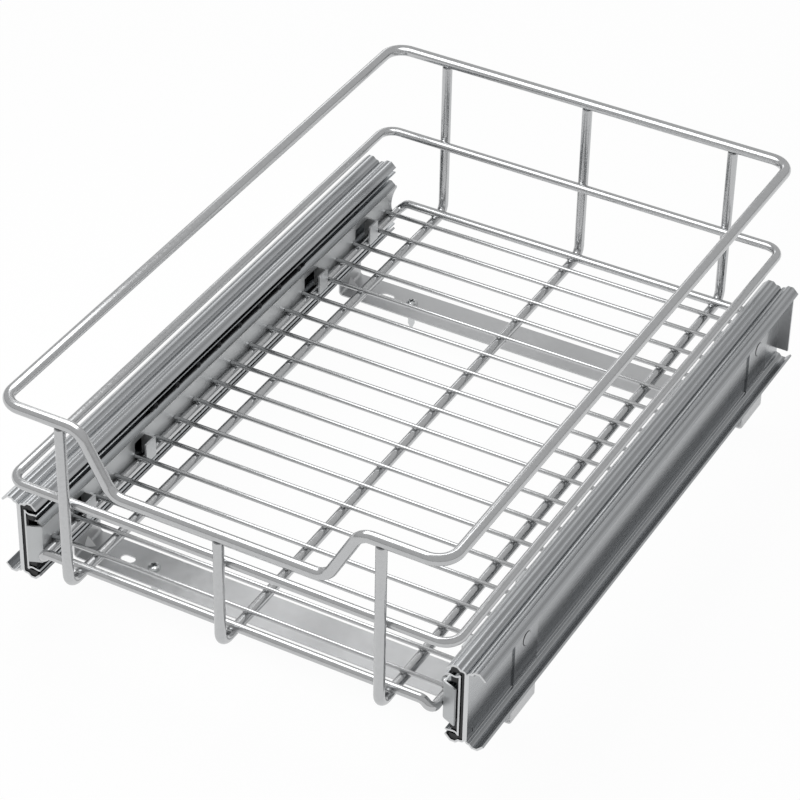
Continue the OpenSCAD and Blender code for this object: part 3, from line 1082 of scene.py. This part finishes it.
def make_world():
    """A pale room, dimmer towards the foot of its walls."""
    world = bpy.data.worlds.new("Studio")
    world.use_nodes = True
    tree = world.node_tree
    background = tree.nodes["Background"]
    background.inputs["Color"].default_value = (1.0, 1.0, 1.0, 1.0)
    place = add_node(tree, "ShaderNodeTexCoord")
    height = add_node(tree, "ShaderNodeSeparateXYZ", {"Vector": place.outputs["Generated"]})
    strength = add_node(
        tree,
        "ShaderNodeMapRange",
        {
            "Value": height.outputs["Z"],
            "From Max": ROOM_HEIGHT,
            "To Min": ROOM_LOW,
            "To Max": ROOM_HIGH,
        },
        interpolation_type="SMOOTHSTEP",
    )
    tree.links.new(strength.outputs["Result"], background.inputs["Strength"])
    bpy.context.scene.world = world


def make_camera(stage):
    """A long lens that looks at the basket from the front right and above."""
    back = Vector(
        (
            math.sin(stage.azimuth) * math.cos(stage.elevation),
            -math.cos(stage.azimuth) * math.cos(stage.elevation),
            math.sin(stage.elevation),
        )
    )
    data = bpy.data.cameras.new("Camera")
    data.sensor_width = 36.0
    data.lens = stage.lens
    data.clip_start, data.clip_end = 0.1, 30.0
    camera = bpy.data.objects.new("Camera", data)
    bpy.context.scene.collection.objects.link(camera)
    level = (-back).to_track_quat("-Z", "Y").to_matrix().to_4x4()
    place = Matrix.Translation(Vector(stage.aim) + back * stage.distance)
    camera.matrix_world = place @ level @ Matrix.Rotation(stage.roll, 4, "Z")
    bpy.context.scene.camera = camera


class BASKET_OT_stage(bpy.types.Operator):
    """Set the pale floor, the soft light and the camera"""

    bl_idname = "basket.stage"
    bl_label = "Stage"

    def execute(self, context):
        stage = context.scene.basket_stage
        make_camera(stage)
        make_floor(stage)
        make_world()
        for name, settings in SOFT_BOXES.items():
            soft_box(name, *settings)
        context.scene.view_settings.view_transform = "Standard"
        return {"FINISHED"}


class BASKET_PT_panel(bpy.types.Panel):
    """Sizes, finishes and steps of the basket"""

    bl_idname = "BASKET_PT_panel"
    bl_label = "Pull-out basket"
    bl_space_type = "VIEW_3D"
    bl_region_type = "UI"
    bl_category = "Basket"

    def draw(self, context):
        scene = context.scene
        for label, group in (
            ("Wires", scene.basket_wires),
            ("Finishes", scene.basket_finishes),
            ("Stage", scene.basket_stage),
        ):
            box = self.layout.box()
            box.label(text=label)
            for name in group.__annotations__:
                box.prop(group, name)
        for operator in OPERATORS:
            self.layout.operator(operator.bl_idname)


OPERATORS = (BASKET_OT_wires, BASKET_OT_slides, BASKET_OT_brackets, BASKET_OT_stage)
GROUPS = {
    "basket_wires": BasketWires,
    "basket_finishes": BasketFinishes,
    "basket_stage": BasketStage,
}


def register():
    for cls in (*GROUPS.values(), *OPERATORS, BASKET_PT_panel):
        bpy.utils.register_class(cls)
    for name, group in GROUPS.items():
        setattr(bpy.types.Scene, name, PointerProperty(type=group))


def unregister():
    for name in GROUPS:
        delattr(bpy.types.Scene, name)
    for cls in (BASKET_PT_panel, *reversed(OPERATORS), *reversed(GROUPS.values())):
        bpy.utils.unregister_class(cls)


def main():
    register()
    bpy.ops.basket.wires()
    bpy.ops.basket.slides()
    bpy.ops.basket.brackets()
    bpy.ops.basket.stage()


if __name__ == "__main__":
    main()
